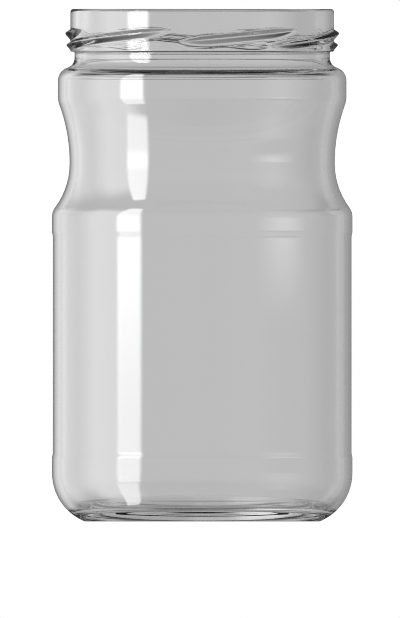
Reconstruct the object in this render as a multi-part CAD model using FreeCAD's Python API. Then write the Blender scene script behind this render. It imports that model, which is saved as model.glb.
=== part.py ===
import FreeCAD, Part
import math
import os

# A clear glass jar for a twist-off lid: one piece of glass, open at the top and empty.
# All sizes are in millimetres and all angles in degrees. The jar stands on its bearing
# ring at height 0, its axis is Z, and its front looks along -Y.
#
# From the top down the outside runs: sealing rim, finish band with its lugs, neck,
# shoulder, waist, body ring, label panel, lower ring, heel, bearing ring and push-up.
# The inside follows it one wall in, with a straight bore at the neck and a domed floor.
# A change of HEIGHT is taken up by the label panel.

# Overall
HEIGHT = 153.4
BODY_RADIUS = 44.97
WALL = 2.3

# Finish: the band that the lid turns on
FINISH_RADIUS = 39.45
FINISH_HEIGHT = 12.8
FINISH_WALL = 3.25
RIM_OUTER_ROUND = 0.95
RIM_INNER_ROUND = 1.1
FINISH_LOWER_ROUND = 0.45

# Neck and shoulder
NECK_INSET = 1.25
NECK_CORNER_ROUND = 0.5
NECK_HEIGHT = 1.83
NECK_ROUND = 3.1
SHOULDER_RADIUS = 43.17
SHOULDER_ROUND = 4.06
SHOULDER_HEIGHT = 4.9

# Waist
WAIST_RADIUS = 39.69
WAIST_TOP_ROUND = 7.0
WAIST_UPPER_ROUND = 49.5
WAIST_LOWER_ROUND = 21.6
WAIST_HEIGHT = 0.5
BODY_CORNER_ROUND = 5.0

# Label panel between the two body rings
PANEL_DEPTH = 0.27
PANEL_ROUND = 3.4
UPPER_RING_HEIGHT = 4.2
LOWER_RING_HEIGHT = 4.3

# Heel and base
HEEL_ROUND = 15.7
HEEL_HEIGHT = 14.56
FOOT_ROUND = 2.0
BEARING_WIDTH = 1.8
PUSH_UP = 2.9
PUSH_STEP = 2.2
PUSH_STEP_ROUND = 1.3
PUSH_EDGE_ROUND = 2.0
FLOOR_HEIGHT = 7.2
FLOOR_DOME_ROUND = 217.0
FLOOR_VALLEY_ROUND = 3.0

# Lugs: short right-hand ridges that rise to the right round the finish band
LUG_COUNT = 6
LUG_LEAD = 22.95
LUG_MARGIN = 0.53
LUG_START = -34.0
LUG_END = 45.0
LUG_PROUD = 1.5
LUG_CREST_ROUND = 0.3
LUG_ABOVE = 0.92
LUG_BELOW = 1.6
LUG_TAPER = 14.0
LUG_SUNK_ANGLE = 0.4
LUG_SKIRT_DEPTH = 0.25
LUG_ROOT_DEPTH = 0.9
LUG_SECTION_ANGLE = 5.0
FRONT_ANGLE = -90.0
# How much later each lug starts than LUG_START, from the one at the front anticlockwise
LUG_LATE_STARTS = (25.0, 6.0, 0.0, 0.0, 0.0, 0.0)


class Outline:
    """A chain of lines and tangent arcs in a plane through the axis.

    The pen stands at a radius and a height and has a heading, 0 outwards and 90 up.
    """

    def __init__(self, radius, height, heading):
        self.radius = radius
        self.height = height
        self.heading = heading
        self.edges = []

    def _point(self):
        return FreeCAD.Vector(self.radius, 0, self.height)

    def line_to(self, radius, height):
        """Draw a straight line; the heading stays as it is."""
        start = self._point()
        self.radius = radius
        self.height = height
        if start.distanceToPoint(self._point()) > 1e-6:
            self.edges.append(Part.LineSegment(start, self._point()).toShape())

    def to_radius(self, radius):
        self.line_to(radius, self.height)

    def to_height(self, height):
        self.line_to(self.radius, height)

    def turn(self, angle, round_radius):
        """Draw an arc that turns the heading by an angle, to the left where positive."""
        side = math.copysign(90.0, angle)
        spoke = math.radians(self.heading + side)
        centre_radius = self.radius + round_radius * math.cos(spoke)
        centre_height = self.height + round_radius * math.sin(spoke)
        start = self._point()
        places = []
        for share in (0.5, 1.0):
            turned = spoke + math.pi + math.radians(angle * share)
            self.radius = centre_radius + round_radius * math.cos(turned)
            self.height = centre_height + round_radius * math.sin(turned)
            places.append(self._point())
        self.edges.append(Part.Arc(start, places[0], places[1]).toShape())
        self.heading += angle

    def shift(self, offset, first_round, second_round):
        """Move sideways by two opposite arcs, to the left where the offset is positive."""
        angle = math.copysign(bend_angle(offset, first_round, second_round), offset)
        self.turn(angle, first_round)
        self.turn(-angle, second_round)


def bend_angle(offset, first_round, second_round):
    """The angle of each of two opposite tangent arcs that together move a wall sideways."""
    return math.degrees(math.acos(1 - abs(offset) / (first_round + second_round)))


def bend_length(offset, first_round, second_round):
    """How far along its heading such a pair of arcs runs."""
    angle = math.radians(bend_angle(offset, first_round, second_round))
    return (first_round + second_round) * math.sin(angle)


def circles_meet(first, first_reach, second, second_reach):
    """The lower of the two points at given distances from two centres."""
    gap = math.dist(first, second)
    along = (gap ** 2 + first_reach ** 2 - second_reach ** 2) / (2 * gap)
    aside = math.sqrt(first_reach ** 2 - along ** 2)
    unit = ((second[0] - first[0]) / gap, (second[1] - first[1]) / gap)
    middle = (first[0] + unit[0] * along, first[1] + unit[1] * along)
    ends = [(middle[0] + side * unit[1] * aside, middle[1] - side * unit[0] * aside) for side in (1, -1)]
    return min(ends, key=lambda end: end[1])


def slope_from(centre, point):
    """Direction from a centre to a point, in degrees."""
    return math.degrees(math.atan2(point[1] - centre[1], point[0] - centre[0]))


# Radii and heights that follow from the sizes above
BORE_RADIUS = FINISH_RADIUS - FINISH_WALL
NECK_RADIUS = FINISH_RADIUS - NECK_INSET
FINISH_BOTTOM = HEIGHT - FINISH_HEIGHT
NECK_BOTTOM = FINISH_BOTTOM - NECK_HEIGHT
SHOULDER_TOP = NECK_BOTTOM - bend_length(SHOULDER_RADIUS - NECK_RADIUS, NECK_ROUND, SHOULDER_ROUND)
SHOULDER_BOTTOM = SHOULDER_TOP - SHOULDER_HEIGHT
SHOULDER_INSET = SHOULDER_RADIUS - WAIST_RADIUS
WAIST_TOP = SHOULDER_BOTTOM - bend_length(SHOULDER_INSET, WAIST_TOP_ROUND, WAIST_UPPER_ROUND)
WAIST_BOTTOM = WAIST_TOP - WAIST_HEIGHT
BODY_TOP = WAIST_BOTTOM - bend_length(BODY_RADIUS - WAIST_RADIUS, WAIST_LOWER_ROUND, BODY_CORNER_ROUND)
PANEL_TOP = BODY_TOP - UPPER_RING_HEIGHT
PANEL_BOTTOM = HEEL_HEIGHT + LOWER_RING_HEIGHT
HEEL_CENTRE = (BODY_RADIUS - HEEL_ROUND, HEEL_HEIGHT)

# A lug's flanks meet at a sharp tip, which the crest's round cuts back
LUG_ABOVE_ANGLE = math.atan(LUG_ABOVE / LUG_PROUD)
LUG_BELOW_ANGLE = math.atan(LUG_BELOW / LUG_PROUD)
LUG_HALF_TIP = (LUG_ABOVE_ANGLE + LUG_BELOW_ANGLE) / 2
LUG_TIP_EXCESS = LUG_CREST_ROUND * (1 / math.sin(LUG_HALF_TIP) - 1)
LUG_REACH_BELOW = (LUG_PROUD + LUG_TIP_EXCESS) * math.tan(LUG_BELOW_ANGLE)
LUG_FULL_LEVEL = FINISH_BOTTOM + LUG_MARGIN + LUG_REACH_BELOW


def draw_outside(pen):
    """Draw the outside, from the top of the rim down to the middle of the underside."""
    pen.to_radius(FINISH_RADIUS - RIM_OUTER_ROUND)
    pen.turn(-90, RIM_OUTER_ROUND)
    pen.to_height(FINISH_BOTTOM + FINISH_LOWER_ROUND)
    pen.turn(-90, FINISH_LOWER_ROUND)
    pen.to_radius(NECK_RADIUS + NECK_CORNER_ROUND)
    pen.turn(90, NECK_CORNER_ROUND)
    pen.to_height(NECK_BOTTOM)
    pen.shift(SHOULDER_RADIUS - NECK_RADIUS, NECK_ROUND, SHOULDER_ROUND)
    pen.to_height(SHOULDER_BOTTOM)
    pen.shift(-SHOULDER_INSET, WAIST_TOP_ROUND, WAIST_UPPER_ROUND)
    pen.to_height(WAIST_BOTTOM)
    pen.shift(BODY_RADIUS - WAIST_RADIUS, WAIST_LOWER_ROUND, BODY_CORNER_ROUND)
    pen.to_height(PANEL_TOP)
    pen.shift(-PANEL_DEPTH, PANEL_ROUND, PANEL_ROUND)
    pen.to_height(PANEL_BOTTOM + bend_length(PANEL_DEPTH, PANEL_ROUND, PANEL_ROUND))
    pen.shift(PANEL_DEPTH, PANEL_ROUND, PANEL_ROUND)
    pen.to_height(HEEL_HEIGHT)
    draw_underside(pen)


def draw_underside(pen):
    """Draw the heel, the flat bearing ring and the push-up inside it."""
    heel_turn = -math.degrees(math.asin((HEEL_HEIGHT - FOOT_ROUND) / (HEEL_ROUND - FOOT_ROUND)))
    pen.turn(heel_turn, HEEL_ROUND)
    pen.turn(-90 - heel_turn, FOOT_ROUND)
    pen.to_radius(pen.radius - BEARING_WIDTH)
    pen.shift(-PUSH_STEP, PUSH_STEP_ROUND, PUSH_STEP_ROUND)
    half_angle = math.atan((PUSH_UP - PUSH_STEP) / pen.radius)
    dome_round = pen.radius / math.sin(2 * half_angle) - PUSH_EDGE_ROUND
    pen.shift(pen.height - PUSH_UP, PUSH_EDGE_ROUND, dome_round)


def draw_inside(pen):
    """Draw the inside, from the middle of the floor up to the top of the rim."""
    dome_centre = (0.0, FLOOR_HEIGHT - FLOOR_DOME_ROUND)
    heel_round = HEEL_ROUND - WALL
    convex_round = PANEL_ROUND - WALL
    concave_round = PANEL_ROUND + WALL
    valley = circles_meet(
        dome_centre, FLOOR_DOME_ROUND + FLOOR_VALLEY_ROUND, HEEL_CENTRE, heel_round - FLOOR_VALLEY_ROUND
    )
    dome_turn = slope_from(dome_centre, valley) - 90
    heel_start = 90 + slope_from(HEEL_CENTRE, valley)
    pen.turn(dome_turn, FLOOR_DOME_ROUND)
    pen.turn(heel_start - dome_turn, FLOOR_VALLEY_ROUND)
    pen.turn(90 - heel_start, heel_round)
    pen.to_height(PANEL_BOTTOM)
    pen.shift(PANEL_DEPTH, convex_round, concave_round)
    pen.to_height(PANEL_TOP - bend_length(PANEL_DEPTH, concave_round, convex_round))
    pen.shift(-PANEL_DEPTH, concave_round, convex_round)
    pen.to_height(BODY_TOP)
    pen.shift(BODY_RADIUS - WAIST_RADIUS, BODY_CORNER_ROUND - WALL, WAIST_LOWER_ROUND + WALL)
    pen.to_height(WAIST_TOP)
    pen.shift(-SHOULDER_INSET, WAIST_UPPER_ROUND + WALL, WAIST_TOP_ROUND - WALL)
    pen.to_height(SHOULDER_TOP)
    pen.shift(pen.radius - BORE_RADIUS, SHOULDER_ROUND - WALL, NECK_ROUND + NECK_RADIUS - BORE_RADIUS)
    pen.to_height(HEIGHT - RIM_INNER_ROUND)
    pen.turn(-90, RIM_INNER_ROUND)


def make_jar():
    """The jar without its lugs, turned about the axis."""
    rim_start = BORE_RADIUS + RIM_INNER_ROUND
    outside = Outline(rim_start, HEIGHT, 0)
    draw_outside(outside)
    outside.line_to(0.0, PUSH_UP)
    outside.line_to(0.0, FLOOR_HEIGHT)
    inside = Outline(0.0, FLOOR_HEIGHT, 0)
    draw_inside(inside)
    inside.line_to(rim_start, HEIGHT)
    section = Part.Face(Part.Wire(outside.edges + inside.edges))
    return section.revolve(FreeCAD.Vector(0, 0, 0), FreeCAD.Vector(0, 0, 1), 360)


def lug_section(angle, level, proud):
    """A lug's outline at one angle: a ridge with a rounded crest, and a root sunk in the wall."""
    tip_radius = FINISH_RADIUS + proud + LUG_TIP_EXCESS
    flank_end = FINISH_RADIUS - LUG_SKIRT_DEPTH
    root = FINISH_RADIUS - LUG_ROOT_DEPTH
    spin = FreeCAD.Rotation(FreeCAD.Vector(0, 0, 1), angle)

    def place(radius, height):
        return spin.multVec(FreeCAD.Vector(radius, 0, height))

    def from_tip(distance, slant):
        return place(tip_radius - distance * math.cos(slant), level + distance * math.sin(slant))

    def flank_end_level(slant):
        return level + (tip_radius - flank_end) * math.tan(slant)

    crest_end = LUG_CREST_ROUND / math.tan(LUG_HALF_TIP)
    lower = from_tip(crest_end, -LUG_BELOW_ANGLE)
    crest = from_tip(LUG_TIP_EXCESS, (LUG_ABOVE_ANGLE - LUG_BELOW_ANGLE) / 2)
    upper = from_tip(crest_end, LUG_ABOVE_ANGLE)
    bottom = flank_end_level(-LUG_BELOW_ANGLE)
    top = flank_end_level(LUG_ABOVE_ANGLE)
    before_crest = [place(root, bottom), place(flank_end, bottom), lower]
    after_crest = [upper, place(flank_end, top), place(root, top), before_crest[0]]
    edges = line_edges(before_crest)
    edges.append(Part.Arc(lower, crest, upper).toShape())
    edges += line_edges(after_crest)
    return Part.Wire(edges)


def line_edges(points):
    """Straight edges from each point to the next."""
    return [Part.LineSegment(start, end).toShape() for start, end in zip(points, points[1:])]


def lug_proud(distance_in):
    """How far a lug's crest stands out, by its distance in degrees from the nearer end."""
    left = max(0.0, 1 - distance_in / LUG_TAPER)
    return LUG_PROUD * (1 - left ** 2)


def make_lug(number):
    """One lug, a ridge that tapers into the band at both ends."""
    middle_angle = FRONT_ANGLE + number * 360 / LUG_COUNT
    start = LUG_START + LUG_LATE_STARTS[number % len(LUG_LATE_STARTS)]
    first = start - LUG_SUNK_ANGLE
    last = LUG_END + LUG_SUNK_ANGLE
    steps = math.ceil((last - first) / LUG_SECTION_ANGLE)
    sections = []
    for step in range(steps + 1):
        turned = first + (last - first) * step / steps
        level = LUG_FULL_LEVEL + LUG_LEAD * (turned - LUG_START - LUG_TAPER) / 360
        proud = lug_proud(min(turned - start, LUG_END - turned))
        sections.append(lug_section(middle_angle + turned, level, proud))
    return Part.makeLoft(sections, True, False)


def main():
    """Build the jar and write it to the parts folder."""
    os.makedirs("parts", exist_ok=True)
    lugs = [make_lug(number) for number in range(LUG_COUNT)]
    jar = make_jar().fuse(lugs).removeSplitter()
    print("solids", len(jar.Solids), "valid", jar.isValid(), "volume", round(jar.Volume, 1))
    jar.exportStep("parts/glass_jar.step")


main()
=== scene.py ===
import logging
import math
from dataclasses import dataclass, field
from enum import Enum
from typing import Any, Union

import bpy
import numpy as np
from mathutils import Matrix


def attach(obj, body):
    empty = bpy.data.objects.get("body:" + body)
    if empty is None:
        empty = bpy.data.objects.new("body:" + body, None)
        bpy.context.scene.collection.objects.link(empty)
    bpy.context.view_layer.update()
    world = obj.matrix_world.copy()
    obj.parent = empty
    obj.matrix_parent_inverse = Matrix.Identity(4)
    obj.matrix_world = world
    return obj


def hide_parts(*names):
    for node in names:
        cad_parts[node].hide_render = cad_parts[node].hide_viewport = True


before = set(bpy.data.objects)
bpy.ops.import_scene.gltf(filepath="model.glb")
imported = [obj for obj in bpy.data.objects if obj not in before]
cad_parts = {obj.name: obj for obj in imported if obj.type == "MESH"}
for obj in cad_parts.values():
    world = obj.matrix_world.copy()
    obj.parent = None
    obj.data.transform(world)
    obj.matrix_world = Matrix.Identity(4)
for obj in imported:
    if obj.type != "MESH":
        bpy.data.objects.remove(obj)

# A clear glass jar for a twist-off lid, open and empty, in a pale studio. The jar's sizes are in
# millimetres and its angles in degrees; MM turns a size into the scene's metres. The jar stands on
# its bearing ring at height 0, its axis is Z, and its front looks along -Y.

MM = 0.001
JAR_NODE = "glass_jar"

# Lengths in millimetres: points nearer than WELD are one point, a run under SHORTEST_RUN is left out,
# and a point within ON_BAND of the finish band's radius belongs to the band. Weights under
# LEAST_WEIGHT raise nothing.
WELD = 0.002
SHORTEST_RUN = 1e-6
ON_BAND = 0.01
LEAST_WEIGHT = 1e-4

# After one reflection Ray Depth is 1 at a surface and 2 in the world, so each limit lets only the
# first reflection through.
FIRST_AT_SURFACE = 1.5
FIRST_IN_WORLD = 2.5

log = logging.getLogger("glass jar")


# ---------------------------------------------------------------- shader maths


class Ray(Enum):
    """What the studio asks about a ray, by the Light Path socket that answers it."""

    GLOSSY = "Is Glossy Ray"
    TRANSMISSION = "Is Transmission Ray"
    DEPTH = "Ray Depth"


Number = Union["Signal", float, int]
Span = tuple[float, float]


class Signal:
    """A value socket that can be used in Python expressions, each of which adds its Math nodes."""

    def __init__(self, sheet: "NodeSheet", socket: bpy.types.NodeSocket) -> None:
        """Wrap a socket.

        Args:
            sheet: The node tree that the socket belongs to.
            socket: The output socket.
        """
        self.sheet = sheet
        self.socket = socket

    def _math(self, operation: str, *values: Number) -> "Signal":
        """Add a Math node.

        Args:
            operation: The node's operation.
            values: Its inputs, in order.

        Returns:
            The node's result.
        """
        return self.sheet.node("ShaderNodeMath", {"operation": operation}, dict(enumerate(values)))

    def __add__(self, other: Number) -> "Signal":
        """self + other."""
        return self._math("ADD", self, other)

    def __radd__(self, other: Number) -> "Signal":
        """other + self."""
        return self._math("ADD", other, self)

    def __sub__(self, other: Number) -> "Signal":
        """self - other."""
        return self._math("SUBTRACT", self, other)

    def __rsub__(self, other: Number) -> "Signal":
        """other - self."""
        return self._math("SUBTRACT", other, self)

    def __mul__(self, other: Number) -> "Signal":
        """self * other."""
        return self._math("MULTIPLY", self, other)

    def __rmul__(self, other: Number) -> "Signal":
        """other * self."""
        return self._math("MULTIPLY", other, self)

    def __pow__(self, other: Number) -> "Signal":
        """self ** other."""
        return self._math("POWER", self, other)

    def angle_from(self, other: Number) -> "Signal":
        """The direction of the point (other, self), in radians."""
        return self._math("ARCTAN2", self, other)

    def arcsine(self) -> "Signal":
        """The arc sine, in radians."""
        return self._math("ARCSINE", self)

    def distance_to(self, other: Number) -> "Signal":
        """The absolute difference from another value."""
        return self._math("ABSOLUTE", self - other)

    def wrapped(self) -> "Signal":
        """An angle in degrees, turned whole turns until it is between -180 and 180."""
        return self._math("WRAP", self, 180.0, -180.0)

    def below(self, other: Number) -> "Signal":
        """1 where this is less than another value, otherwise 0."""
        return self._math("LESS_THAN", self, other)

    def ramp(self, low: float, high: float) -> "Signal":
        """A smooth step from 0 at low to 1 at high.

        Args:
            low: The value at which the step starts; it may be above high.
            high: The value at which the step ends.

        Returns:
            The step's height.
        """
        settings = {"interpolation_type": "SMOOTHSTEP", "clamp": True}
        inputs = {"Value": self, "From Min": low, "From Max": high}
        return self.sheet.node("ShaderNodeMapRange", settings, inputs)


class NodeSheet:
    """The nodes of one material or world."""

    def __init__(self, tree: bpy.types.NodeTree) -> None:
        """Start with an empty tree.

        Args:
            tree: The node tree, whose default nodes are removed.
        """
        self.tree = tree
        tree.nodes.clear()

    def node(
        self,
        kind: str,
        settings: dict[str, Any] | None = None,
        inputs: dict[Union[str, int], Any] | None = None,
        output: Union[str, int] = 0,
    ) -> Signal:
        """Add a node, set its settings first and then its sockets.

        Args:
            kind: The node's type.
            settings: Its properties, such as a Math node's operation.
            inputs: Values or Signals for its input sockets, by name or number.
            output: The name or number of the output that is wanted.

        Returns:
            That output.
        """
        made = self.tree.nodes.new(kind)
        for name, value in (settings or {}).items():
            setattr(made, name, value)
        for key, value in (inputs or {}).items():
            socket = made.inputs[key]
            if isinstance(value, Signal):
                self.tree.links.new(value.socket, socket)
            else:
                socket.default_value = value
        return Signal(self, made.outputs[output]) if made.outputs else None

    def axes(self, vector: Signal, names: str) -> tuple[Signal, ...]:
        """Split a vector.

        Args:
            vector: The vector.
            names: The axes that are wanted, such as "XZ".

        Returns:
            The vector's part along each of them.
        """
        return tuple(self.node("ShaderNodeSeparateXYZ", None, {"Vector": vector}, axis) for axis in names)

    def ray(self, question: Ray) -> Signal:
        """Ask about the ray that is being shaded."""
        return self.node("ShaderNodeLightPath", output=question.value)


# ---------------------------------------------------------------- drawing the section


def clear_selection() -> None:
    """Leave nothing selected and nothing active."""
    bpy.ops.object.select_all(action="DESELECT")
    bpy.context.view_layer.objects.active = None


def bend_angle(offset: float, first_round: float, second_round: float) -> float:
    """The angle of each of two opposite tangent arcs that together move a wall sideways.

    Args:
        offset: How far the wall moves sideways.
        first_round: The first arc's radius.
        second_round: The second arc's radius.

    Returns:
        The angle in degrees.
    """
    return math.degrees(math.acos(1 - abs(offset) / (first_round + second_round)))


def bend_length(offset: float, first_round: float, second_round: float) -> float:
    """How far along its heading such a pair of arcs runs.

    Args:
        offset: How far the wall moves sideways.
        first_round: The first arc's radius.
        second_round: The second arc's radius.

    Returns:
        The length in millimetres.
    """
    angle = math.radians(bend_angle(offset, first_round, second_round))
    return (first_round + second_round) * math.sin(angle)


def circles_meet(
    first: tuple[float, float], first_reach: float, second: tuple[float, float], second_reach: float
) -> tuple[float, float]:
    """The lower of the two points at given distances from two centres.

    Args:
        first: The first centre, as radius and height.
        first_reach: The distance from it.
        second: The second centre.
        second_reach: The distance from it.

    Returns:
        The point, as radius and height.
    """
    gap = math.dist(first, second)
    along = (gap ** 2 + first_reach ** 2 - second_reach ** 2) / (2 * gap)
    aside = math.sqrt(first_reach ** 2 - along ** 2)
    unit = ((second[0] - first[0]) / gap, (second[1] - first[1]) / gap)
    middle = (first[0] + unit[0] * along, first[1] + unit[1] * along)
    ends = [(middle[0] + side * unit[1] * aside, middle[1] - side * unit[0] * aside) for side in (1, -1)]
    return min(ends, key=lambda end: end[1])


def slope_from(centre: tuple[float, float], point: tuple[float, float]) -> float:
    """Direction from a centre to a point, in degrees."""
    return math.degrees(math.atan2(point[1] - centre[1], point[0] - centre[0]))


@dataclass
class Pen:
    """Draws a section in edit mode: runs by extruding the end vertex, arcs by spinning it.

    The pen stands at a radius and a height and has a heading, 0 outwards and 90 up.
    """

    radius: float
    height: float
    heading: float = 0.0
    arc_step: float = 6.0
    arc_chord: float = 2.0
    long_run: float = 2.5
    end_loop: float = 0.35

    def start(self, name: str) -> bpy.types.Object:
        """Add a plane, shrink it to a single vertex at the pen, and stay in edit mode.

        Args:
            name: The new object's name.

        Returns:
            The object.
        """
        clear_selection()
        bpy.ops.mesh.primitive_plane_add(size=MM, location=(self.radius * MM, 0, self.height * MM))
        made = bpy.context.active_object
        made.name = name
        bpy.ops.object.transform_apply(location=True, rotation=True, scale=True)
        bpy.ops.object.mode_set(mode="EDIT")
        bpy.ops.mesh.select_all(action="SELECT")
        bpy.ops.mesh.merge(type="CENTER")
        return made

    def line_to(self, radius: float, height: float, pieces: int = 1) -> None:
        """Extrude the end vertex in a straight run.

        A long single run gets a loop close to each end, so that smooth shading keeps it straight.

        Args:
            radius: Where the run ends.
            height: Where the run ends.
            pieces: How many equal edges it has.
        """
        across, up = radius - self.radius, height - self.height
        length = math.hypot(across, up)
        if length < SHORTEST_RUN:
            return
        marks = [number / pieces for number in range(pieces + 1)]
        if pieces == 1 and length > self.long_run:
            marks = [0.0, self.end_loop / length, 1 - self.end_loop / length, 1.0]
        for share in np.diff(marks):
            step = (across * share * MM, 0, up * share * MM)
            bpy.ops.mesh.extrude_region_move(TRANSFORM_OT_translate={"value": step})
        self.radius = radius
        self.height = height

    def to_radius(self, radius: float, pieces: int = 1) -> None:
        """Extrude outwards or inwards to a radius."""
        self.line_to(radius, self.height, pieces)

    def to_height(self, height: float, pieces: int = 1) -> None:
        """Extrude up or down to a height."""
        self.line_to(self.radius, height, pieces)

    def turn(self, angle: float, round_radius: float) -> None:
        """Spin the end vertex into an arc that turns the heading, to the left where positive.

        Args:
            angle: How far the heading turns, in degrees.
            round_radius: The arc's radius.
        """
        spoke = math.radians(self.heading + math.copysign(90.0, angle))
        centre_radius = self.radius + round_radius * math.cos(spoke)
        centre_height = self.height + round_radius * math.sin(spoke)
        length = round_radius * math.radians(abs(angle))
        steps = math.ceil(max(abs(angle) / self.arc_step, length / self.arc_chord, 2))
        bpy.ops.mesh.spin(
            steps=steps,
            angle=math.radians(angle),
            center=(centre_radius * MM, 0, centre_height * MM),
            axis=(0, 1, 0),
        )
        turned = spoke + math.pi + math.radians(angle)
        self.radius = centre_radius + round_radius * math.cos(turned)
        self.height = centre_height + round_radius * math.sin(turned)
        self.heading += angle

    def shift(self, offset: float, first_round: float, second_round: float) -> None:
        """Move sideways by two opposite arcs, to the left where the offset is positive.

        Args:
            offset: How far the wall moves.
            first_round: The first arc's radius.
            second_round: The second arc's radius.
        """
        angle = math.copysign(bend_angle(offset, first_round, second_round), offset)
        self.turn(angle, first_round)
        self.turn(-angle, second_round)


# ---------------------------------------------------------------- the jar


@dataclass
class Lugs:
    """Short right-hand ridges that rise to the right round the finish band."""

    count: int = 6
    lead: float = 22.95
    margin: float = 0.53
    start: float = -34.0
    end: float = 45.0
    proud: float = 1.5
    above: float = 0.92
    below: float = 1.6
    crest_round: float = 0.3
    foot_round: float = 0.35
    taper: float = 14.0
    end_fade: float = 2.0
    foot_reach: float = 1.0
    front_angle: float = -90.0
    late_starts: tuple[float, ...] = (25.0, 6.0, 0.0, 0.0, 0.0, 0.0)

    def tip_excess(self) -> float:
        """How far the flanks' sharp tip would stand past the rounded crest."""
        half_tip = (math.atan(self.above / self.proud) + math.atan(self.below / self.proud)) / 2
        return self.crest_round * (1 / math.sin(half_tip) - 1)

    def full_level(self, band_bottom: float) -> float:
        """The crest's height where a lug first reaches its full size.

        Args:
            band_bottom: The height of the finish band's lower edge.

        Returns:
            The height in millimetres.
        """
        return band_bottom + self.margin + (self.proud + self.tip_excess()) * self.below / self.proud

    def relief(self, angles: np.ndarray, heights: np.ndarray, band_bottom: float) -> np.ndarray:
        """How far the lugs stand out from the band at each of many points.

        Args:
            angles: The points' angles round the axis, in degrees.
            heights: Their heights, in millimetres.
            band_bottom: The height of the finish band's lower edge.

        Returns:
            The relief in millimetres.
        """
        result = np.zeros_like(heights)
        full_level = self.full_level(band_bottom)
        for number in range(self.count):
            middle = self.front_angle + number * 360 / self.count
            start = self.start + self.late_starts[number]
            turned = (angles - middle + 180) % 360 - 180
            inside = (turned > start) & (turned < self.end)
            near_end = np.minimum(turned - start, self.end - turned)
            left = np.clip(1 - near_end / self.taper, 0, 1)
            proud = self.proud * (1 - left ** 2)
            level = full_level + self.lead * (turned - self.start - self.taper) / 360
            slope = np.where(heights > level, self.proud / self.above, self.proud / self.below)
            ridge = proud + self.tip_excess() - np.hypot((heights - level) * slope, self.tip_excess())
            soft = (ridge + np.hypot(ridge, self.foot_round / 2)) / 2
            faded = soft * np.clip(near_end / self.end_fade, 0, 1)
            result = np.maximum(result, np.where(inside & (ridge > -self.foot_reach), faded, 0))
        return result


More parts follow.
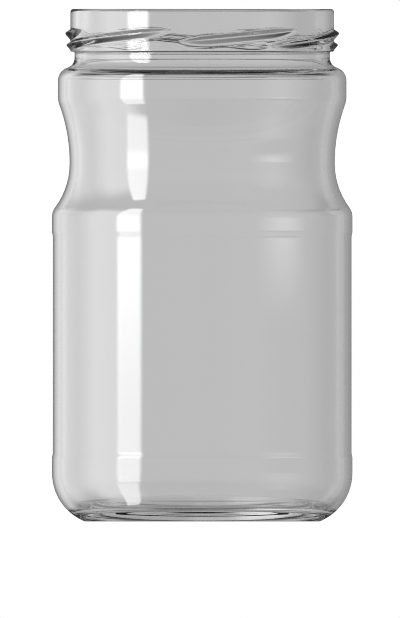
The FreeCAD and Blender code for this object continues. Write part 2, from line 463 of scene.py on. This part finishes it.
@dataclass
class GlassJar:
    """The whole jar: one closed skin of glass, spun from its section, with the lugs raised on it."""

    height: float = 153.4
    body_radius: float = 44.97
    wall: float = 2.3
    finish_radius: float = 39.45
    finish_height: float = 12.8
    finish_wall: float = 3.25
    rim_outer_round: float = 0.95
    rim_inner_round: float = 1.1
    finish_lower_round: float = 0.45
    neck_inset: float = 1.25
    neck_corner_round: float = 0.5
    neck_height: float = 1.83
    neck_round: float = 3.1
    shoulder_radius: float = 43.17
    shoulder_round: float = 4.06
    shoulder_height: float = 4.9
    waist_radius: float = 39.69
    waist_top_round: float = 7.0
    waist_upper_round: float = 49.5
    waist_lower_round: float = 21.6
    waist_height: float = 0.5
    body_corner_round: float = 5.0
    panel_depth: float = 0.27
    panel_round: float = 3.4
    upper_ring_height: float = 4.2
    lower_ring_height: float = 4.3
    heel_round: float = 15.7
    heel_height: float = 14.56
    foot_round: float = 2.0
    bearing_width: float = 1.8
    push_up: float = 2.9
    push_step: float = 2.2
    push_step_round: float = 1.3
    push_edge_round: float = 2.0
    floor_height: float = 7.2
    floor_dome_round: float = 217.0
    floor_valley_round: float = 3.0
    lugs: Lugs = field(default_factory=Lugs)
    segments: int = 240
    lug_row: float = 0.11
    lug_band: float = 8.0
    rows_above_lugs: int = 6

    def __post_init__(self) -> None:
        """Work out the levels that follow from the sizes."""
        self.bore_radius = self.finish_radius - self.finish_wall
        self.neck_radius = self.finish_radius - self.neck_inset
        self.finish_bottom = self.height - self.finish_height
        self.neck_bottom = self.finish_bottom - self.neck_height
        self.shoulder_top = self.neck_bottom - bend_length(
            self.shoulder_radius - self.neck_radius, self.neck_round, self.shoulder_round
        )
        self.shoulder_bottom = self.shoulder_top - self.shoulder_height
        self.shoulder_inset = self.shoulder_radius - self.waist_radius
        self.waist_top = self.shoulder_bottom - bend_length(
            self.shoulder_inset, self.waist_top_round, self.waist_upper_round
        )
        self.waist_bottom = self.waist_top - self.waist_height
        self.body_top = self.waist_bottom - bend_length(
            self.body_radius - self.waist_radius, self.waist_lower_round, self.body_corner_round
        )
        self.panel_top = self.body_top - self.upper_ring_height
        self.panel_bottom = self.heel_height + self.lower_ring_height
        self.heel_centre = (self.body_radius - self.heel_round, self.heel_height)

    def draw_outside(self, pen: Pen) -> None:
        """Draw the outside, from the top of the rim down to the middle of the underside.

        Args:
            pen: The pen, on the top of the rim and heading outwards.
        """
        pen.to_radius(self.finish_radius - self.rim_outer_round)
        pen.turn(-90, self.rim_outer_round)
        lug_top = self.finish_bottom + self.lug_band
        pen.to_height(lug_top, self.rows_above_lugs)
        lug_foot = self.finish_bottom + self.finish_lower_round
        pen.to_height(lug_foot, math.ceil((lug_top - lug_foot) / self.lug_row))
        pen.turn(-90, self.finish_lower_round)
        pen.to_radius(self.neck_radius + self.neck_corner_round)
        pen.turn(90, self.neck_corner_round)
        pen.to_height(self.neck_bottom)
        pen.shift(self.shoulder_radius - self.neck_radius, self.neck_round, self.shoulder_round)
        pen.to_height(self.shoulder_bottom)
        pen.shift(-self.shoulder_inset, self.waist_top_round, self.waist_upper_round)
        pen.to_height(self.waist_bottom)
        pen.shift(self.body_radius - self.waist_radius, self.waist_lower_round, self.body_corner_round)
        pen.to_height(self.panel_top)
        pen.shift(-self.panel_depth, self.panel_round, self.panel_round)
        panel_step = bend_length(self.panel_depth, self.panel_round, self.panel_round)
        pen.to_height(self.panel_bottom + panel_step)
        pen.shift(self.panel_depth, self.panel_round, self.panel_round)
        pen.to_height(self.heel_height)
        self.draw_underside(pen)

    def draw_underside(self, pen: Pen) -> None:
        """Draw the heel, the flat bearing ring and the push-up inside it.

        Args:
            pen: The pen, at the top of the heel and heading down.
        """
        rise = (self.heel_height - self.foot_round) / (self.heel_round - self.foot_round)
        heel_turn = -math.degrees(math.asin(rise))
        pen.turn(heel_turn, self.heel_round)
        pen.turn(-90 - heel_turn, self.foot_round)
        pen.to_radius(pen.radius - self.bearing_width)
        pen.shift(-self.push_step, self.push_step_round, self.push_step_round)
        half_angle = math.atan((self.push_up - self.push_step) / pen.radius)
        dome_round = pen.radius / math.sin(2 * half_angle) - self.push_edge_round
        pen.shift(pen.height - self.push_up, self.push_edge_round, dome_round)

    def draw_inside(self, pen: Pen) -> None:
        """Draw the inside, from the middle of the floor up to the top of the rim.

        Args:
            pen: The pen, at the middle of the floor and heading outwards.
        """
        dome_centre = (0.0, self.floor_height - self.floor_dome_round)
        heel_round = self.heel_round - self.wall
        valley = circles_meet(
            dome_centre,
            self.floor_dome_round + self.floor_valley_round,
            self.heel_centre,
            heel_round - self.floor_valley_round,
        )
        dome_turn = slope_from(dome_centre, valley) - 90
        heel_start = 90 + slope_from(self.heel_centre, valley)
        pen.turn(dome_turn, self.floor_dome_round)
        pen.turn(heel_start - dome_turn, self.floor_valley_round)
        pen.turn(90 - heel_start, heel_round)
        pen.to_height(self.panel_bottom)
        convex_round = self.panel_round - self.wall
        concave_round = self.panel_round + self.wall
        pen.shift(self.panel_depth, convex_round, concave_round)
        pen.to_height(self.panel_top - bend_length(self.panel_depth, concave_round, convex_round))
        pen.shift(-self.panel_depth, concave_round, convex_round)
        pen.to_height(self.body_top)
        pen.shift(
            self.body_radius - self.waist_radius,
            self.body_corner_round - self.wall,
            self.waist_lower_round + self.wall,
        )
        pen.to_height(self.waist_top)
        pen.shift(-self.shoulder_inset, self.waist_upper_round + self.wall, self.waist_top_round - self.wall)
        pen.to_height(self.shoulder_top)
        pen.shift(
            pen.radius - self.bore_radius,
            self.shoulder_round - self.wall,
            self.neck_round + self.neck_radius - self.bore_radius,
        )
        pen.to_height(self.height - self.rim_inner_round)
        pen.turn(-90, self.rim_inner_round)

    def spin_section(self) -> bpy.types.Object:
        """Draw the section and spin it round the axis.

        Returns:
            The jar without its lugs.
        """
        rim_start = self.bore_radius + self.rim_inner_round
        pen = Pen(rim_start, self.height, 0.0)
        jar = pen.start("jar_skin")
        self.draw_outside(pen)
        pen.line_to(0.0, self.push_up)
        bpy.ops.mesh.select_all(action="DESELECT")
        bpy.ops.object.mode_set(mode="OBJECT")
        inner_pen = Pen(0.0, self.floor_height, 0.0)
        inner = inner_pen.start("jar_inside")
        self.draw_inside(inner_pen)
        bpy.ops.object.mode_set(mode="OBJECT")
        jar.select_set(True)
        inner.select_set(True)
        bpy.context.view_layer.objects.active = jar
        bpy.ops.object.join()
        bpy.ops.object.mode_set(mode="EDIT")
        bpy.ops.mesh.select_all(action="SELECT")
        bpy.ops.mesh.remove_doubles(threshold=WELD * MM)
        bpy.ops.mesh.spin(steps=self.segments, angle=math.tau, center=(0, 0, 0), axis=(0, 0, 1))
        bpy.ops.mesh.select_all(action="SELECT")
        bpy.ops.mesh.remove_doubles(threshold=WELD * MM)
        bpy.ops.mesh.normals_make_consistent(inside=False)
        bpy.ops.object.mode_set(mode="OBJECT")
        return jar

    def raise_lugs(self, jar: bpy.types.Object) -> None:
        """Raise the lugs on the finish band by a weighted displacement along its normals.

        Args:
            jar: The spun jar.
        """
        count = len(jar.data.vertices)
        places = np.empty(count * 3)
        jar.data.vertices.foreach_get("co", places)
        places = places.reshape(count, 3) / MM
        radii = np.hypot(places[:, 0], places[:, 1])
        angles = np.degrees(np.arctan2(places[:, 1], places[:, 0]))
        relief = self.lugs.relief(angles, places[:, 2], self.finish_bottom)
        on_band = (np.abs(radii - self.finish_radius) < ON_BAND) & (places[:, 2] > self.finish_bottom)
        weights = np.where(on_band, relief / self.lugs.proud, 0)
        group = jar.vertex_groups.new(name="lugs")
        for number in np.flatnonzero(weights > LEAST_WEIGHT):
            group.add([int(number)], float(weights[number]), "REPLACE")
        clear_selection()
        jar.select_set(True)
        bpy.context.view_layer.objects.active = jar
        displace = jar.modifiers.new("raise lugs", "DISPLACE")
        displace.vertex_group = group.name
        displace.direction = "NORMAL"
        displace.mid_level = 0.0
        displace.strength = self.lugs.proud * MM
        bpy.ops.object.modifier_apply(modifier=displace.name)
        jar.vertex_groups.clear()

    def build(self) -> bpy.types.Object:
        """Make the finished piece.

        Returns:
            The jar, smooth shaded and with its glass on.
        """
        jar = self.spin_section()
        self.raise_lugs(jar)
        bpy.ops.object.shade_smooth()
        jar.data.materials.clear()
        jar.data.materials.append(ClearGlass().material())
        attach(jar, "root")
        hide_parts(JAR_NODE)
        return jar


@dataclass(frozen=True)
class ClearGlass:
    """Clear, fire-polished soda-lime glass."""

    colour: tuple[float, float, float, float] = (0.97, 0.973, 0.97, 1.0)
    index: float = 1.52
    roughness: float = 0.0

    def material(self) -> bpy.types.Material:
        """Build the material.

        Returns:
            The glass.
        """
        made = bpy.data.materials.new("clear glass")
        made.use_nodes = True
        sheet = NodeSheet(made.node_tree)
        glass = sheet.node(
            "ShaderNodeBsdfPrincipled",
            None,
            {
                "Base Color": self.colour,
                "Roughness": self.roughness,
                "IOR": self.index,
                "Transmission Weight": 1.0,
            },
        )
        sheet.node("ShaderNodeOutputMaterial", None, {"Surface": glass})
        return made


# ---------------------------------------------------------------- the studio


@dataclass(frozen=True)
class Panel:
    """A soft-edged patch of light in the surroundings, placed by its direction from the jar.

    Azimuth 0 is straight behind the jar, 90 to its right and 180 towards the front.
    """

    azimuth: float
    half_width: float
    strength: float
    elevation: float = 0.0
    half_height: float = 30.0
    side_fade: float = 12.0
    end_fade: float = 20.0

    def glow(self, azimuth: Signal, elevation: Signal) -> Signal:
        """How much the panel adds in each direction.

        Args:
            azimuth: The direction's azimuth, in degrees.
            elevation: Its elevation, in degrees.

        Returns:
            The light that is added.
        """
        aside = (azimuth - self.azimuth).wrapped().distance_to(0.0)
        across = aside.ramp(self.half_width + self.side_fade / 2, self.half_width - self.side_fade / 2)
        over = elevation.distance_to(self.elevation)
        along = over.ramp(self.half_height + self.end_fade / 2, self.half_height - self.end_fade / 2)
        return across * along * self.strength


@dataclass(frozen=True)
class Softbox:
    """An upright glowing card that only the first reflection on the glass picks up, in metres.

    The card is clear where it doesn't glow. Its glow can be bowed and pinched: it then bends towards
    the back of the room, and narrows, above and below bow_height.
    """

    name: str
    azimuth: float
    width: float
    bottom: float
    top: float
    edge: float
    strength: float
    rises: tuple[tuple[float, float, float], ...] = ()
    end_fade: float = 0.05
    bow: float = 0.0
    pinch: float = 0.0
    bow_height: float = 0.08
    distance: float = 0.532

    def bow_reach(self) -> float:
        """How far the bow moves the glow at the card's farther end."""
        return self.bow * max(self.top - self.bow_height, self.bow_height - self.bottom) ** 2

    def material(self) -> bpy.types.Material:
        """Build the card's material, which fades out at its edges and is stronger or weaker by height.

        Each rise has the heights where it starts and ends, and the strength that it adds.

        Returns:
            The material.
        """
        made = bpy.data.materials.new(self.name)
        made.use_nodes = True
        sheet = NodeSheet(made.node_tree)
        side, rise = sheet.axes(sheet.node("ShaderNodeTexCoord", output="Object"), "XY")
        up = rise + (self.bottom + self.top) / 2
        bend = up.distance_to(self.bow_height) ** 2
        across = side.distance_to(self.bow * bend) * (1 + self.pinch * bend)
        level: Number = self.strength
        for start, end, gain in self.rises:
            level = level + gain * up.ramp(start, end)
        sides = across.ramp(self.width / 2, self.width / 2 - self.edge)
        ends = up.ramp(self.bottom, self.bottom + self.end_fade) * up.ramp(self.top, self.top - self.end_fade)
        first = sheet.ray(Ray.DEPTH).below(FIRST_AT_SURFACE)
        clear = sheet.node("ShaderNodeBsdfTransparent")
        glow = sheet.node("ShaderNodeEmission", None, {"Strength": level})
        card = sheet.node("ShaderNodeMixShader", None, {0: sides * ends * first, 1: clear, 2: glow})
        sheet.node("ShaderNodeOutputMaterial", None, {"Surface": card})
        made.cycles.emission_sampling = "NONE"
        return made

    def build(self) -> bpy.types.Object:
        """Stand the card up, facing the jar.

        Returns:
            The card.
        """
        clear_selection()
        turn = math.radians(self.azimuth)
        place = (self.distance * math.sin(turn), self.distance * math.cos(turn), (self.bottom + self.top) / 2)
        bpy.ops.mesh.primitive_plane_add(size=1.0, location=place, rotation=(math.pi / 2, 0, -turn))
        card = bpy.context.active_object
        card.name = self.name
        card.scale = (self.width + 2 * self.bow_reach(), self.top - self.bottom, 1.0)
        bpy.ops.object.transform_apply(location=False, rotation=False, scale=True)
        card.data.materials.append(self.material())
        card.visible_camera = False
        card.visible_diffuse = False
        card.visible_transmission = False
        card.visible_volume_scatter = False
        card.visible_shadow = False
        return card


@dataclass
class Studio:
    """The pale surroundings: world, floor, softboxes and camera.

    The page is white to the camera. The glass looks through onto a grey backdrop that darkens
    overhead, near the floor and a little on the right. It mirrors a dark room with two pale panels
    and a tall softbox on its left, and a faint softbox on its right. Each span is a pair of angles
    in degrees, from where something starts to where it is complete.
    """

    backdrop: float = 0.565
    backdrop_side: float = 0.46
    side_span: Span = (40, 70)
    right_shade: float = 0.115
    right_shade_start: Span = (1.2, 6.5)
    right_shade_end: Span = (50, 25)
    ceiling_span: Span = (33, 14)
    behind_span: Span = (60, 30)
    low_shade: float = 0.62
    low_shade_span: Span = (-10, -26)
    low_glow: float = 0.9
    low_glow_span: Span = (-46, -72)
    side_glow: float = 0.3
    side_glow_span: Span = (-8, -25)
    behind_left: Panel = Panel(-22, 9, 0.3, half_height=22, side_fade=10, end_fade=16)
    room: float = 0.08
    room_right: float = 0.25
    room_right_start: Span = (25, 45)
    room_right_end: Span = (175, 140)
    broad_panel: Panel = Panel(-99, 20, 4.2, elevation=-3, half_height=40, side_fade=26)
    side_panel: Panel = Panel(-58, 20, 1.6, side_fade=20)
    softboxes: tuple[Softbox, ...] = (
        Softbox(
            "strip softbox",
            azimuth=-123.5,
            width=0.234,
            bottom=-0.19,
            top=0.76,
            edge=0.045,
            strength=8.8,
            rises=((0.025, 0.09, 3.5), (0.135, 0.2, -2.7)),
            end_fade=0.07,
            bow=0.25,
            pinch=1.2,
        ),
        Softbox(
            "low softbox",
            azimuth=-123.8,
            width=0.14,
            bottom=-0.64,
            top=-0.069,
            edge=0.0275,
            strength=7.6,
            end_fade=0.043,
            bow=0.54,
            bow_height=0.053,
            distance=0.34,
        ),
        Softbox(
            "right softbox",
            azimuth=117,
            width=0.5,
            bottom=-0.32,
            top=0.45,
            edge=0.25,
            strength=1.0,
            rises=((-0.02, 0.01, -1.0), (0.055, 0.092, 3.0), (0.095, 0.107, -2.0)),
        ),
    )
    page_colour: tuple[float, float, float, float] = (1.0, 1.0, 1.0, 1.0)
    floor_colour: tuple[float, float, float, float] = (0.9, 0.9, 0.9, 1.0)
    floor_roughness: float = 1.0
    floor_reach: float = 4.0
    view_height: float = 0.0636
    view_side: float = -0.00066
    view_width: float = 0.18497
    view_distance: float = 1.0
    bounces: int = 32
    mirror_bounces: int = 16
    filter_width: float = 1.0

    def seen_through(self, azimuth: Signal, elevation: Signal) -> Signal:
        """What the glass looks through onto.

        Args:
            azimuth: The direction's azimuth, in degrees.
            elevation: Its elevation, in degrees.

        Returns:
            The light from that direction.
        """
        aside = azimuth.distance_to(0.0)
        around = self.backdrop - (self.backdrop - self.backdrop_side) * aside.ramp(*self.side_span)
        in_right = azimuth.ramp(*self.right_shade_start) * azimuth.ramp(*self.right_shade_end)
        around = around - self.right_shade * in_right
        under_ceiling = elevation.ramp(*self.ceiling_span)
        behind = aside.ramp(*self.behind_span)
        near_floor = 1 - self.low_shade * behind * elevation.ramp(*self.low_shade_span)
        near_floor = near_floor + self.side_glow * (1 - behind) * elevation.ramp(*self.side_glow_span)
        near_floor = near_floor + self.low_glow * behind * elevation.ramp(*self.low_glow_span)
        return around * under_ceiling * near_floor + self.behind_left.glow(azimuth, elevation)

    def mirrored(self, azimuth: Signal, elevation: Signal) -> Signal:
        """What the glass mirrors, besides the softboxes.

        Args:
            azimuth: The direction's azimuth, in degrees.
            elevation: Its elevation, in degrees.

        Returns:
            The light from that direction.
        """
        in_right = azimuth.ramp(*self.room_right_start) * azimuth.ramp(*self.room_right_end)
        room = self.room + self.room_right * in_right
        first = azimuth.sheet.ray(Ray.DEPTH).below(FIRST_IN_WORLD)
        panels = self.broad_panel.glow(azimuth, elevation) + self.side_panel.glow(azimuth, elevation)
        return room + panels * first

    def world(self) -> None:
        """Light the scene by a world that is white to the camera and to the floor."""
        world = bpy.data.worlds.new("studio")
        bpy.context.scene.world = world
        world.use_nodes = True
        sheet = NodeSheet(world.node_tree)
        east, north, up = sheet.axes(sheet.node("ShaderNodeTexCoord", output="Generated"), "XYZ")
        azimuth = east.angle_from(north) * math.degrees(1)
        elevation = up.arcsine() * math.degrees(1)
        through = sheet.ray(Ray.TRANSMISSION)
        mirror = sheet.ray(Ray.GLOSSY) * (1 - through)
        strength = 1 - through - mirror
        strength = strength + through * self.seen_through(azimuth, elevation)
        strength = strength + mirror * self.mirrored(azimuth, elevation)
        light = sheet.node("ShaderNodeBackground", None, {"Color": self.page_colour, "Strength": strength})
        sheet.node("ShaderNodeOutputWorld", None, {"Surface": light})
        world.cycles.sampling_method = "NONE"

    def floor(self) -> bpy.types.Object:
        """Lay the floor, which the glass itself doesn't see.

        Returns:
            The floor.
        """
        clear_selection()
        bpy.ops.mesh.primitive_plane_add(size=2 * self.floor_reach, location=(0, 0, 0))
        floor = bpy.context.active_object
        floor.name = "floor"
        made = bpy.data.materials.new("pale floor")
        made.use_nodes = True
        sheet = NodeSheet(made.node_tree)
        paint = sheet.node(
            "ShaderNodeBsdfPrincipled",
            None,
            {"Base Color": self.floor_colour, "Roughness": self.floor_roughness},
        )
        sheet.node("ShaderNodeOutputMaterial", None, {"Surface": paint})
        floor.data.materials.append(made)
        floor.visible_glossy = False
        floor.visible_transmission = False
        return floor

    def camera(self) -> bpy.types.Object:
        """Set up the camera, level with the jar and without perspective.

        Returns:
            The camera.
        """
        clear_selection()
        bpy.ops.object.camera_add(
            location=(self.view_side, -self.view_distance, self.view_height), rotation=(math.pi / 2, 0, 0)
        )
        camera = bpy.context.active_object
        camera.data.type = "ORTHO"
        camera.data.ortho_scale = self.view_width
        bpy.context.scene.camera = camera
        return camera

    def light_paths(self) -> None:
        """Let light pass through many walls of glass before it is cut off."""
        cycles = bpy.context.scene.cycles
        cycles.max_bounces = self.bounces
        cycles.transmission_bounces = self.bounces
        cycles.glossy_bounces = self.mirror_bounces
        cycles.sample_clamp_indirect = 0.0
        cycles.filter_width = self.filter_width

    def build(self) -> None:
        """Set up the whole studio."""
        self.camera()
        self.world()
        self.floor()
        for softbox in self.softboxes:
            softbox.build()
        self.light_paths()


def main() -> None:
    """Build the jar and its studio, in order."""
    logging.basicConfig(level=logging.INFO)
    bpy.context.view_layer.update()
    scene = bpy.context.scene
    scene.view_settings.view_transform = "Standard"
    Studio().build()
    jar = GlassJar().build()
    log.info("%s: %d faces", jar.name, len(jar.data.polygons))


if __name__ == "__main__":
    main()
